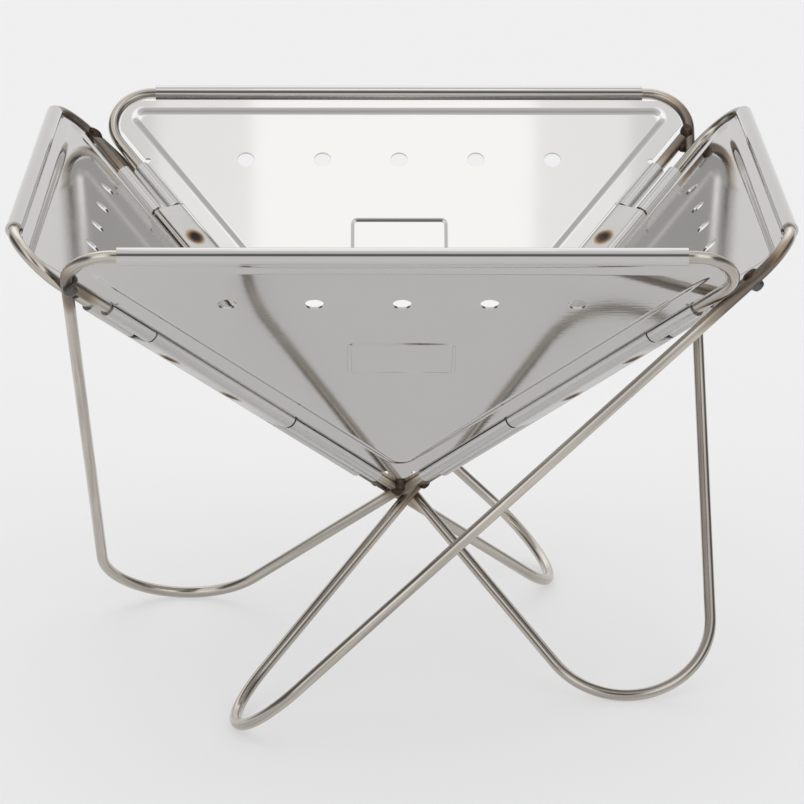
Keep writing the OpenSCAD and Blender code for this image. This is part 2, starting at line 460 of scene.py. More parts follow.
@dataclass(frozen=True)
class FloorFinish:
    """The pale seamless studio floor."""

    name: str = "studio_floor"
    colour: tuple = (0.92, 0.92, 0.925)
    white: tuple = (1.0, 1.0, 1.0)
    lift: float = 0.46
    roughness: float = 0.75
    specular: float = 0.2
    drift_scale: float = 0.8
    drift_dim: float = 0.985

    def make(self) -> bpy.types.Material:
        """Builds the floor's material, lifted towards white where it is seen.

        Returns:
            The material.
        """
        material = bpy.data.materials.new(self.name)
        material.use_nodes = True
        maker = NodeMaker(material.node_tree)
        drift = maker.noise(self.drift_scale, 1.0)
        dim = tuple(self.drift_dim * c for c in self.colour) + (1,)
        colour = maker.mix(drift, (*self.colour, 1), dim)
        inputs = {"Base Color": colour, "Roughness": self.roughness, "Specular IOR Level": self.specular}
        lit = maker.node("ShaderNodeBsdfPrincipled", {}, inputs)
        glow = maker.node("ShaderNodeEmission", {}, {"Color": (*self.white, 1), "Strength": 1.0})
        seen = maker.node("ShaderNodeLightPath", {}, {}, "Is Camera Ray")
        for ray in ("Is Glossy Ray", "Is Transmission Ray"):
            seen = seen + maker.node("ShaderNodeLightPath", {}, {}, ray)
        share = seen.clamped() * self.lift
        maker.show(maker.node("ShaderNodeMixShader", {}, {0: share, 1: lit, 2: glow}))
        return material


SHEET_STEEL = SteelFinish(
    name="satin_sheet_steel",
    steel=(0.595, 0.582, 0.57),
    straw=(0.52, 0.42, 0.29),
    brown=(0.20, 0.115, 0.07),
    scale=(0.035, 0.032, 0.034),
    roughness=0.065,
    smudge=0.04,
    grain=0.05,
    grain_stretch=(0.12, 1, 1),
)
STRAP_STEEL = SteelFinish(
    name="handled_strap_steel",
    steel=(0.585, 0.575, 0.56),
    straw=(0.50, 0.41, 0.29),
    brown=(0.20, 0.115, 0.07),
    scale=(0.035, 0.032, 0.034),
    roughness=0.26,
    smudge=0.26,
    grain=0.12,
)
ROD_STEEL = SteelFinish(
    name="drawn_rod_steel",
    steel=(0.665, 0.63, 0.58),
    straw=(0.44, 0.355, 0.26),
    brown=(0.15, 0.092, 0.058),
    scale=(0.04, 0.034, 0.032),
    roughness=0.15,
    smudge=0.16,
    grain=0.06,
    warm_stain=0.5,
    streaks=2.0,
)
WELD_METAL = SteelFinish(
    name="burnt_weld_metal",
    steel=(0.12, 0.117, 0.114),
    straw=(0.14, 0.13, 0.12),
    brown=(0.10, 0.065, 0.045),
    scale=(0.03, 0.027, 0.027),
    roughness=0.33,
    smudge=0.2,
    grain=0.3,
)


class MeshTools:
    """Small steps on a bmesh that several pieces share."""

    @staticmethod
    def verts_of(geometry: Sequence) -> list:
        """The vertices in an operator's result."""
        return [g for g in geometry if isinstance(g, bmesh.types.BMVert)]

    @staticmethod
    def edges_of(geometry: Sequence) -> list:
        """The edges in an operator's result."""
        return [g for g in geometry if isinstance(g, bmesh.types.BMEdge)]

    @staticmethod
    def arc(
        bm: bmesh.types.BMesh, start: Vector, centre: Vector, axis: tuple, angle: float, steps: int
    ) -> tuple:
        """Spins one vertex into an arc.

        Args:
            bm: The mesh.
            start: Where the arc starts.
            centre: A point on its axis.
            axis: The axis.
            angle: Sweep in radians.
            steps: Number of edges.

        Returns:
            The first and the last vertex.
        """
        first = bm.verts.new(start)
        made = bmesh.ops.spin(bm, geom=[first], cent=centre, axis=axis, angle=angle, steps=steps)
        return first, MeshTools.verts_of(made["geom_last"])[0]

    @staticmethod
    def pull(bm: bmesh.types.BMesh, edges: Sequence, by: Vector, steps: int = 1) -> list:
        """Extrudes edges along a vector.

        Args:
            bm: The mesh.
            edges: The edges to extrude.
            by: The whole way.
            steps: Number of equal steps.

        Returns:
            The edges at the far end.
        """
        front = list(edges)
        for _ in range(steps):
            made = bmesh.ops.extrude_edge_only(bm, edges=front)
            fresh = set(MeshTools.verts_of(made["geom"]))
            bmesh.ops.translate(bm, verts=list(fresh), vec=by / steps)
            front = [e for e in MeshTools.edges_of(made["geom"]) if fresh.issuperset(e.verts)]
        return front

    @staticmethod
    def block(bm: bmesh.types.BMesh, low: Sequence[float], high: Sequence[float]) -> None:
        """Adds a box.

        Args:
            bm: The mesh.
            low: Its lowest corner.
            high: Its highest corner.
        """
        size = Vector(high) - Vector(low)
        middle = (Vector(high) + Vector(low)) / 2
        bmesh.ops.create_cube(bm, size=1.0, matrix=Matrix.Translation(middle) @ Matrix.Diagonal((*size, 1)))

    @staticmethod
    def outward(bm: bmesh.types.BMesh, away_from: Callable[[Vector], Vector]) -> None:
        """Turns each face of an open sheet away from a point.

        Args:
            bm: The mesh.
            away_from: Gives the point for a face's middle.
        """
        bm.normal_update()
        wrong = []
        for face in bm.faces:
            middle = face.calc_center_median()
            if face.normal.dot(middle - away_from(middle)) < 0:
                wrong.append(face)
        bmesh.ops.reverse_faces(bm, faces=wrong)

    @staticmethod
    def move(bm: bmesh.types.BMesh, place: Matrix) -> None:
        """Moves a whole mesh, and turns its faces outward again where the move mirrors it.

        Args:
            bm: The mesh.
            place: The move.
        """
        bmesh.ops.transform(bm, matrix=place, verts=bm.verts[:])
        if place.determinant() < 0:
            bmesh.ops.reverse_faces(bm, faces=bm.faces[:])

    @staticmethod
    def add(target: bmesh.types.BMesh, part: bmesh.types.BMesh, place: Matrix) -> None:
        """Moves a part into place and joins it to a target.

        Args:
            target: The mesh that takes the part in.
            part: The part, freed here.
            place: From the part's frame to the target's.
        """
        MeshTools.move(part, place)
        carrier = bpy.data.meshes.new("carrier")
        part.to_mesh(carrier)
        part.free()
        target.from_mesh(carrier)
        bpy.data.meshes.remove(carrier)


class RodMaker:
    """Draws a round rod in a panel's plane along straight runs and bends."""

    JOIN_DIST = 0.05 * MM

    def __init__(self, radius: float, at: Vector, along: Vector, sides: int = 28) -> None:
        """Starts a rod with a ring of edges.

        Args:
            radius: The rod's radius.
            at: Where it starts.
            along: Which way it goes.
            sides: Edges round it.
        """
        self.bm = bmesh.new()
        lay = self.bm.verts.layers.float_vector.new(ROD_LAY)
        self.along = along.normalized()
        place = Matrix.Translation(at) @ self.along.to_track_quat("Z", "Y").to_matrix().to_4x4()
        bmesh.ops.create_circle(self.bm, cap_ends=False, radius=radius, segments=sides, matrix=place)
        for vert in self.bm.verts:
            vert[lay] = place.inverted() @ vert.co / radius
        self.first = self.bm.edges[:]
        self.ring = self.bm.edges[:]

    def run(self, length: float, step: float = 5 * MM) -> None:
        """Goes straight on."""
        self.ring = MeshTools.pull(self.bm, self.ring, self.along * length, max(1, round(length / step)))

    def bend(self, centre: Vector, angle: float, steps: int) -> None:
        """Turns about an axis square to the panel.

        Args:
            centre: A point on the axis.
            angle: Sweep in radians.
            steps: Number of edges along the bend.
        """
        verts = list({v for e in self.ring for v in e.verts})
        made = bmesh.ops.spin(
            self.bm, geom=verts + self.ring, cent=centre, axis=(0, 0, 1), angle=angle, steps=steps
        )
        self.ring = MeshTools.edges_of(made["geom_last"])
        self.along = Matrix.Rotation(angle, 3, "Z") @ self.along

    def close(self) -> bmesh.types.BMesh:
        """Welds the last ring to the first."""
        bmesh.ops.remove_doubles(self.bm, verts=self.bm.verts[:], dist=self.JOIN_DIST)
        return self._finished()

    def cap(self) -> bmesh.types.BMesh:
        """Closes both ends.

        Returns:
            The rod.
        """
        for ring in (self.first, self.ring):
            bmesh.ops.edgeloop_fill(self.bm, edges=ring)
        return self._finished()

    def _finished(self) -> bmesh.types.BMesh:
        """The rod with its faces turned outwards."""
        bmesh.ops.recalc_face_normals(self.bm, faces=self.bm.faces[:])
        return self.bm


class Dresser:
    """Turns finished meshes into pieces that ride on the frame."""

    def __init__(self) -> None:
        """Makes the finishes once."""
        self.materials = {
            "sheet_steel": SHEET_STEEL.make(),
            "strap_steel": STRAP_STEEL.make(),
            "rod_steel": ROD_STEEL.make(),
            "weld_metal": WELD_METAL.make(),
        }

    def piece(
        self,
        name: str,
        bm: bmesh.types.BMesh,
        place: Matrix,
        node: str,
        body: str,
        slot: str,
        finishes: tuple = (),
        edge_round: float = 0.0,
    ) -> bpy.types.Object:
        """Makes one piece.

        Args:
            name: The piece's name.
            bm: Its mesh, freed here.
            place: From the mesh's frame to the row frame.
            node: The solid that it stands for.
            body: The body that it rides on.
            slot: The record's material slot.
            finishes: Names of its finishes where they aren't just the slot's.
            edge_round: Radius of its rounded edges.

        Returns:
            The object.
        """
        MeshTools.move(bm, place)
        mesh = bpy.data.meshes.new(name)
        bm.to_mesh(mesh)
        bm.free()
        mesh.polygons.foreach_set("use_smooth", [True] * len(mesh.polygons))
        mesh.set_sharp_from_angle(angle=SHARP_ANGLE)
        made = bpy.data.objects.new(name, mesh)
        bpy.context.scene.collection.objects.link(made)
        for finish in finishes or (slot,):
            mesh.materials.append(self.materials[finish])
        if edge_round > 0:
            rounded = made.modifiers.new("rounded_edges", "BEVEL")
            rounded.width = edge_round
            rounded.segments = 2
            rounded.limit_method = "ANGLE"
            rounded.angle_limit = SHARP_ANGLE
            rounded.harden_normals = True
        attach(made, body)
        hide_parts(node)
        LOG.info("%s: %d faces, on %s", name, len(mesh.polygons), body)
        return made

    @staticmethod
    def paint_heat(bm: bmesh.types.BMesh, warmth: Callable[[Vector], float]) -> None:
        """Stores how far welding has heated each point, from 0 to 1.

        Args:
            bm: The mesh, still in its own frame.
            warmth: The heat at a point.
        """
        layer = bm.verts.layers.float.new(HEAT)
        for vert in bm.verts:
            vert[layer] = warmth(vert.co)


@dataclass
class WireFrame:
    """One panel's closed wire of rail, leg, foot and edge run, its straight side rod and its weld beads.

    A bead's place is a distance down the left edge and a height over the panel's plane, and its size is
    half its width, length and height in millimetres.
    """

    bowl: Bowl
    leg_reach: float = 22 * MM
    rod_reach: float = 17 * MM
    scorch: tuple = (0.75, 1.2, 1.2, 1.9)
    bend_steps: tuple = (16, 36, 22)
    rod_end_gap: float = 2 * MM
    leg_end_at: tuple = (3.6 * MM, 3.5 * MM)
    leg_inside_at: tuple = (3.0 * MM, -2.2 * MM)
    tip_end_at: tuple = (-4 * MM, 2.2 * MM)
    crook_size: tuple = (4.1, 4.7, 2.9)
    tip_size: tuple = (4.5, 5.0, 4.2)
    leg_end_size: tuple = (4.3, 4.3, 4.0)
    leg_inside_size: tuple = (4.2, 5.6, 3.0)
    tip_end_size: tuple = (3.6, 3.6, 3.0)
    bead_swell: float = 0.12
    swell_scale: float = 1700.0
    swell_step: float = 7.0
    brushed: float = 6 * MM
    bead_burn: float = 0.8
    brushed_off: float = 0.75
    burn_spread: float = 0.3
    burn_scale: float = 400.0

    def warmth(self, at: Vector, reach: float) -> float:
        """Heat round the leg's joint, the bead in its crook and the tip.

        Args:
            at: A point in the panel frame.
            reach: How far the heat spreads.

        Returns:
            The heat, from 0 to 1.
        """
        join = self.bowl.left_edge() @ Vector((self.bowl.leg_join_s, 0, 0))
        near = min((at - spot).length for spot in (*self.bowl.weld_points(), join))
        return math.exp(-((near / reach) ** 2))

    def wire(self, scorch: float) -> bmesh.types.BMesh:
        """Draws the closed wire.

        Args:
            scorch: How much further than usual the heat has spread.

        Returns:
            The wire in the panel frame.
        """
        bowl = self.bowl
        foot = bowl.foot_c
        rail_x0, rail_x1 = bowl.rail_x
        leg_steps, foot_steps, edge_steps = self.bend_steps
        rod = RodMaker(bowl.rod_r, Vector((rail_x1, 0, 0)), Vector((-1, 0, 0)))
        rod.run(rail_x1 - rail_x0)
        rod.bend(Vector((rail_x0, -bowl.leg_bend_r, 0)), QUARTER, leg_steps)
        rod.run(-bowl.leg_bend_r - foot.y)
        rod.bend(foot, math.pi - bowl.apex_a, foot_steps)
        rod.run(bowl.edge_s1 - bowl.edge_s0)
        rod.bend(Vector((rail_x1, -bowl.edge_bend_r, 0)), QUARTER + bowl.apex_a, edge_steps)
        mesh = rod.close()
        Dresser.paint_heat(mesh, lambda at: self.warmth(at, self.leg_reach * scorch))
        return mesh

    def side_rod(self, scorch: float) -> bmesh.types.BMesh:
        """Draws the straight rod on the left edge, from the leg to the tip.

        Args:
            scorch: How much further than usual the heat has spread.

        Returns:
            The rod in the panel frame.
        """
        bowl = self.bowl
        start = self._by_edge(bowl.leg_join_s, (self.rod_end_gap, 0))
        end = self._by_edge(bowl.tip_s, (-self.rod_end_gap, 0))
        rod = RodMaker(bowl.rod_r, start, end - start)
        rod.run((end - start).length)
        mesh = rod.cap()
        Dresser.paint_heat(mesh, lambda at: self.warmth(at, self.rod_reach * scorch))
        return mesh

    def _by_edge(self, start: float, offset: tuple) -> Vector:
        """Finds a point by the left edge.

        Args:
            start: A distance down the edge.
            offset: How much further down it the point lies, and its height.

        Returns:
            The point in the panel frame.
        """
        further, height = offset
        return self.bowl.left_edge() @ Vector((start + further, 0, 0)) + Vector((0, 0, height))

    def beads(self) -> bmesh.types.BMesh:
        """Makes the lumps of weld metal in the leg's crook, round the rod's end and over the tip.

        Returns:
            The lumps in the panel frame.
        """
        bowl = self.bowl
        crook, tip = bowl.weld_points()
        leg_end = self._by_edge(bowl.leg_join_s, self.leg_end_at)
        lumps = (
            (crook, self.crook_size),
            (tip, self.tip_size),
            (leg_end, self.leg_end_size),
            (self._by_edge(bowl.leg_join_s, self.leg_inside_at), self.leg_inside_size),
            (self._by_edge(bowl.tip_s, self.tip_end_at), self.tip_end_size),
        )
        mesh = bmesh.new()
        for number, (spot, size) in enumerate(lumps):
            lump = bmesh.new()
            bmesh.ops.create_icosphere(lump, subdivisions=4, radius=MM)
            for vert in lump.verts:
                wave = noise.noise(vert.co * self.swell_scale + Vector((self.swell_step * number, 0, 0)))
                vert.co *= 1 + self.bead_swell * wave
            MeshTools.add(mesh, lump, Matrix.Translation(spot) @ Matrix.Diagonal((*size, 1)))
        Dresser.paint_heat(mesh, lambda at: self._bead_heat(at, leg_end))
        return mesh

    def _bead_heat(self, at: Vector, bare: Vector) -> float:
        """Scorching of the weld metal, less on the bead that was brushed clean.

        Args:
            at: A point of the beads in the panel frame.
            bare: The middle of the brushed bead.

        Returns:
            The heat, 0 or more.
        """
        clean = math.exp(-(((at - bare).length / self.brushed) ** 2)) if at.z > 0 else 0.0
        uneven = self.burn_spread * noise.noise(at * self.burn_scale)
        return max(0.0, self.bead_burn - self.brushed_off * clean + uneven)

    def dress(self, side: Side, dresser: Dresser) -> None:
        """Makes the panel's rods and beads.

        Args:
            side: The panel.
            dresser: Turns the meshes into pieces.
        """
        place = self.bowl.on_side(side.value)
        label = side.label
        heat = self.scorch[side.value]
        made = (
            ("bent_wire", self.wire(heat), "wire_frame", "rod_steel"),
            ("straight_rod", self.side_rod(heat), "side_rod", "rod_steel"),
            ("beads", self.beads(), "weld_beads", "weld_metal"),
        )
        for name, mesh, node, slot in made:
            dresser.piece(f"{label}_{name}", mesh, place, f"{label}_{node}", f"{label}_panel", slot)


@dataclass
class SleeveMaker:
    """Bends sheet round a rod."""

    bowl: Bowl
    steps: int = 40
    join_dist: float = 0.02 * MM
    full_turn: float = 2 * math.pi - 1e-6

    def rolled(self, x0: float, x1: float, start_a: float, sweep: float) -> bmesh.types.BMesh:
        """A part sleeve along X, of the sheet's thickness.

        Args:
            x0: Start.
            x1: End.
            start_a: Where it starts round the rod, from Y towards Z.
            sweep: How far round it goes.

        Returns:
            The sleeve in its rod's frame.
        """
        bm = bmesh.new()
        start = Vector((x0, self.bowl.hem_r * math.cos(start_a), self.bowl.hem_r * math.sin(start_a)))
        MeshTools.arc(bm, start, Vector((x0, 0, 0)), (1, 0, 0), sweep, self.steps)
        if abs(sweep) > self.full_turn:
            bmesh.ops.remove_doubles(bm, verts=bm.verts[:], dist=self.join_dist)
        MeshTools.pull(bm, bm.edges[:], Vector((x1 - x0, 0, 0)))
        MeshTools.outward(bm, lambda middle: Vector((middle.x, 0, 0)))
        bmesh.ops.solidify(bm, geom=bm.faces[:], thickness=self.bowl.sheet_t)
        return bm


@dataclass
class PanelSheet:
    """One pressed sheet with its rolled hems, raised field, plain name-plate panel and air holes.

    The field's slope is pairs of a share of its half width and of its height, and the plate's rise is steps
    of width and height in millimetres.
    """

    bowl: Bowl
    edge_cut: float = 6.4 * MM
    bend_gap: float = 1.0 * MM
    tip_r: float = 6 * MM
    notch_r: float = 2.2 * MM
    notch_run: float = 1.4 * MM
    field_inset: float = 18.5 * MM
    field_top: float = 14 * MM
    field_r: float = 6 * MM
    field_tip_r: float = 9 * MM
    field_step: float = 1.2 * MM
    slope_half: float = 2.3 * MM
    top_slope_half: float = 3.0 * MM
    slope: tuple = ((-1.3, 0.0), (-1.0, 0.0), (-0.55, 0.14), (0.0, 0.5), (0.55, 0.86), (1.0, 1.0), (1.3, 1.0))
    plate_size: tuple = (64 * MM, 38 * MM)
    plate_v: float = 116 * MM
    plate_r: float = 5 * MM
    plate_margin: float = 1 * MM
    plate_rise: tuple = ((0.3, 0.0), (0.7, 0.12), (1.2, 0.56), (0.7, 0.12), (0.3, 0.0))
    hole_count: int = 5
    hole_r: float = 5.5 * MM
    hole_pitch: float = 50 * MM
    hole_v: float = 52 * MM
    cell: float = 9 * MM
    seam_a: float = math.radians(14)
    lead_a: float = math.radians(8)
    web_thin: float = 0.02 * MM
    web_in: float = 2 * MM
    web_out: float = 0.9 * MM
    edge_round: float = 0.35 * MM
    corner_steps: int = 14
    tip_steps: int = 10
    notch_steps: int = 8
    plate_steps: int = 6
    hole_steps: int = 40

    def _corners(self, insets: tuple, radii: tuple, lift: float) -> list:
        """Arcs of a rounded triangle that follows the panel's rods.

        Args:
            insets: Distances from the edge rods and from the rail.
            radii: Radii of the two upper corners and of the tip.
            lift: Height over the flat sheet.

        Returns:
            The right, the left and the tip's arc, each a centre, radius, start, sweep and step count.
        """
        apex = self.bowl.apex_a
        inset, top = insets
        top_r, tip_r = radii
        top_y = -top - top_r
        top_u = self.bowl.edge_u - (inset + top_r) / math.cos(apex) + top_y * math.tan(apex)
        tip_y = -(self.bowl.edge_u - (inset + tip_r) / math.cos(apex)) / math.tan(apex)
        z = self.bowl.sheet_t / 2 + lift
        return [
            (Vector((top_u, top_y, z)), top_r, -apex, QUARTER + apex, self.corner_steps),
            (Vector((-top_u, top_y, z)), top_r, QUARTER, QUARTER + apex, self.corner_steps),
            (Vector((0, tip_y, z)), tip_r, math.pi + apex, math.pi - 2 * apex, self.tip_steps),
        ]

    @staticmethod
    def _ring(bm: bmesh.types.BMesh, arcs: Sequence[tuple]) -> list:
        """Draws arcs and joins them into a closed ring.

        Args:
            bm: The mesh.
            arcs: A centre, radius, start, sweep and step count each, in order.

        Returns:
            The ring's edges.
        """
        old = set(bm.edges)
        ends = []
        for centre, radius, start_a, sweep, steps in arcs:
            start = centre + radius * Vector((math.cos(start_a), math.sin(start_a), 0))
            ends.append(MeshTools.arc(bm, start, centre, (0, 0, 1), sweep, steps))
        for number, (_, last) in enumerate(ends):
            bm.edges.new((last, ends[(number + 1) % len(ends)][0]))
        return [edge for edge in bm.edges if edge not in old]

    def _rim(self, bm: bmesh.types.BMesh) -> list:
        """Draws the sheet's edge: corners that follow the wire's bends, notches and the tip.

        Args:
            bm: The mesh.

        Returns:
            The edges of the rim.
        """
        bowl = self.bowl
        inset = self.edge_cut
        z = bowl.sheet_t / 2
        bends = ((bowl.rail_x[1], bowl.edge_bend_r, 1), (bowl.rail_x[0], bowl.leg_bend_r, -1))
        corners = []
        for x, bend_r, hand in bends:
            radius = bend_r - bowl.rod_r - self.bend_gap
            from_top = math.acos((bend_r - inset) / radius)
            across = hand * x * math.cos(bowl.apex_a) + bend_r * math.sin(bowl.apex_a)
            from_side = math.acos((bowl.edge_u * math.cos(bowl.apex_a) - inset - across) / radius)
            sweep = QUARTER + bowl.apex_a - from_top - from_side
            start = from_side - bowl.apex_a if hand > 0 else QUARTER + from_top
            corners.append((Vector((x, -bend_r, z)), radius, start, sweep, self.corner_steps))
        tip = self._corners((inset, inset), (self.tip_r, self.tip_r), 0.0)[2]
        left, right = self._notches(inset, z)
        return self._ring(bm, [*corners, *left, tip, *right])

    def _notches(self, inset: float, z: float) -> tuple:
        """Half circles bitten into the sheet's edge just past the ends of its side hems.

        Args:
            inset: Distance of the sheet's edge from the rods.
            z: Level of the drawing.

        Returns:
            The arcs on the left and the right side, in the outline's order.
        """
        bowl = self.bowl
        apex = bowl.apex_a
        spans = (bowl.upper_hem[0] - self.notch_run, bowl.lower_hem[1] + self.notch_run)
        down = [(bowl.left_edge() @ Vector((at, -inset, z)), QUARTER + apex) for at in spans]
        up = [(bowl.right_edge() @ Vector((at, -inset, z)), -QUARTER - apex) for at in reversed(spans)]
        bites = []
        for side in (down, up):
            bites.append([(at, self.notch_r, turn, -math.pi, self.notch_steps) for at, turn in side])
        return tuple(bites)

    @staticmethod
    def _rise(bm: bmesh.types.BMesh, face: bmesh.types.BMFace, steps: Sequence[tuple]) -> None:
        """Insets a face in steps.

        Args:
            bm: The mesh.
            face: The face.
            steps: A width and a height in millimetres each.
        """
        for width, height in steps:
            bmesh.ops.inset_region(
                bm,
                faces=[face],
                thickness=width * MM,
                depth=height * MM,
                use_even_offset=True,
                use_boundary=True,
            )

    @staticmethod
    def _cut(bm: bmesh.types.BMesh, z: float, point: Vector, normal: tuple, rows: tuple) -> None:
        """Splits the level faces whose middle lies between two heights.

        Args:
            bm: The mesh.
            z: Level of the faces.
            point: A point on the cutting plane.
            normal: The plane's normal.
            rows: Lowest and highest Y of a face's middle.
        """
        level = []
        for face in bm.faces:
            middle = face.calc_center_median()
            if abs(middle.z - z) < SAME_LEVEL and rows[0] < middle.y < rows[1]:
                level.append(face)
        geometry = set(level)
        for face in level:
            geometry.update(face.edges)
            geometry.update(face.verts)
        bmesh.ops.bisect_plane(bm, geom=list(geometry), plane_co=point, plane_no=normal, dist=SAME_LEVEL)

    @staticmethod
    def _open_square(bm: bmesh.types.BMesh, middle: Vector) -> list:
        """Takes out the square face at a point.

        Args:
            bm: The mesh.
            middle: Where the middle of the face's bounds is.

        Returns:
            The edges that are left round it.
        """
        square = min(bm.faces, key=lambda face: (face.calc_center_bounds() - middle).length)
        rim = list(square.edges)
        bmesh.ops.delete(bm, geom=[square], context="FACES_ONLY")
        return rim

    @staticmethod
    def _face_up(bm: bmesh.types.BMesh) -> None:
        """Turns every face of the single sheet to its outer side."""
        bm.normal_update()
        bmesh.ops.reverse_faces(bm, faces=[face for face in bm.faces if face.normal.z < 0])

    def pressed(self) -> bmesh.types.BMesh:
        """Presses the sheet, without its hems.

        Returns:
            The sheet in the panel frame, with its raised shapes and holes.
        """
        bm = bmesh.new()
        self._press_field(bm)
        z = self.bowl.sheet_t / 2 + self.field_step
        columns = [(i - (self.hole_count - 1) / 2) * self.hole_pitch for i in range(self.hole_count)]
        self._score(bm, z, columns)
        for u in columns:
            self._punch(bm, Vector((u, -self.hole_v, z)))
        self._raise_plate(bm, Vector((0, -self.plate_v, z)))
        bmesh.ops.solidify(bm, geom=bm.faces[:], thickness=self.bowl.sheet_t)
        return bm

    def _press_field(self, bm: bmesh.types.BMesh) -> None:
        """Draws the rim and the raised field, and fills them.

        Args:
            bm: The empty mesh.
        """
        loops = [self._rim(bm)]
        for share, rise in self.slope:
            step = share * self.slope_half
            insets = (self.field_inset + step, self.field_top + share * self.top_slope_half)
            radii = (self.field_r - step, self.field_tip_r - step)
            loops.append(self._ring(bm, self._corners(insets, radii, rise * self.field_step)))
        bmesh.ops.triangle_fill(bm, use_beauty=True, edges=loops[0] + loops[1], normal=(0, 0, 1))
        for outer, inner in zip(loops[1:], loops[2:]):
            bmesh.ops.bridge_loops(bm, edges=outer + inner)
        bmesh.ops.edgeloop_fill(bm, edges=loops[-1])
        self._face_up(bm)

    def _score(self, bm: bmesh.types.BMesh, z: float, columns: Sequence[float]) -> None:
        """Cuts square faces for the holes and the plate out of the raised field.

        Args:
            bm: The mesh.
            z: Level of the field.
            columns: Where the holes are along the rail.
        """
        wide, high = (size + 2 * self.plate_margin for size in self.plate_size)
        everywhere = (-1.0, 1.0)
        hole_rows = (-self.hole_v - self.cell, -self.hole_v + self.cell)
        plate_rows = (-self.plate_v - high / 2, -self.plate_v + high / 2)
        for y in (*hole_rows, *plate_rows):
            self._cut(bm, z, Vector((0, y, z)), (0, 1, 0), everywhere)
        for u in columns:
            for side in (-self.cell, self.cell):
                self._cut(bm, z, Vector((u + side, 0, z)), (1, 0, 0), hole_rows)
        for side in (-wide / 2, wide / 2):
            self._cut(bm, z, Vector((side, 0, z)), (1, 0, 0), plate_rows)

    def _raise_plate(self, bm: bmesh.types.BMesh, middle: Vector) -> None:
        """Raises the plain name-plate panel, with round corners, in its square face.

        Args:
            bm: The mesh.
            middle: The middle of the face.
        """
        rim = self._open_square(bm, middle)
        half_w, half_h = (size / 2 - self.plate_r for size in self.plate_size)
        arcs = []
        for number, (x, y) in enumerate(((1, 1), (-1, 1), (-1, -1), (1, -1))):
            centre = middle + Vector((x * half_w, y * half_h, 0))
            arcs.append((centre, self.plate_r, number * QUARTER, QUARTER, self.plate_steps))
        ring = self._ring(bm, arcs)
        bmesh.ops.triangle_fill(bm, use_beauty=True, edges=rim + ring, normal=(0, 0, 1))
        plate = bmesh.ops.edgeloop_fill(bm, edges=ring)["faces"][0]
        plate.normal_update()
        if plate.normal.z < 0:
            plate.normal_flip()
        self._rise(bm, plate, self.plate_rise)

    def _punch(self, bm: bmesh.types.BMesh, middle: Vector) -> None:
        """Makes a round hole in its square face.

        Args:
            bm: The mesh.
            middle: The middle of the face.
        """
        rim = self._open_square(bm, middle)
        place = Matrix.Translation(middle)
        made = bmesh.ops.create_circle(
            bm, cap_ends=False, radius=self.hole_r, segments=self.hole_steps, matrix=place
        )
        ring = list({e for v in made["verts"] for e in v.link_edges})
        bmesh.ops.triangle_fill(bm, use_beauty=True, edges=rim + ring, normal=(0, 0, 1))
        self._face_up(bm)

    def rolled_hem(self, x0: float, x1: float, seam_side: int) -> bmesh.types.BMesh:
        """One hem rolled round a rod along X, with its web to the sheet.

        Args:
            x0: Start.
            x1: End.
            seam_side: 1 where the seam is on the outer face, -1 on the inner.

        Returns:
            The hem in its rod's frame.
        """
        bowl = self.bowl
        start_a = math.pi - self.lead_a
        sweep = -(2 * math.pi - self.lead_a - self.seam_a)
        bm = SleeveMaker(bowl).rolled(x0, x1, start_a, sweep)
        web_t = bowl.sheet_t / 2 - self.web_thin
        low = (x0, -self.edge_cut - self.web_in, -web_t)
        MeshTools.block(bm, low, (x1, -bowl.hem_r + self.web_out, web_t))
        if seam_side > 0:
            MeshTools.move(bm, Matrix.Scale(-1, 4, (0, 0, 1)))
        return bm

    def build(self) -> bmesh.types.BMesh:
        """Joins the pressed sheet and its hems.

        Returns:
            The whole sheet in the panel frame; its side hems have the second finish.
        """
        bowl = self.bowl
        sheet = self.pressed()
        MeshTools.add(sheet, self.rolled_hem(*bowl.rail_hem, -1), Matrix.Identity(4))
        for edge in (bowl.right_edge(), bowl.left_edge()):
            for s0, s1 in (bowl.upper_hem, bowl.lower_hem):
                hem = self.rolled_hem(s0, s1, 1)
                for face in hem.faces:
                    face.material_index = 1
                MeshTools.add(sheet, hem, edge)
        return sheet

    def dress(self, side: Side, dresser: Dresser) -> None:
        """Makes the panel's sheet.

        Args:
            side: The panel.
            dresser: Turns the mesh into a piece.
        """
        dresser.piece(
            f"{side.label}_pressed_sheet",
            self.build(),
            self.bowl.on_side(side.value),
            f"{side.label}_sheet",
            f"{side.label}_panel",
            "sheet_steel",
            ("sheet_steel", "strap_steel"),
            self.edge_round,
        )


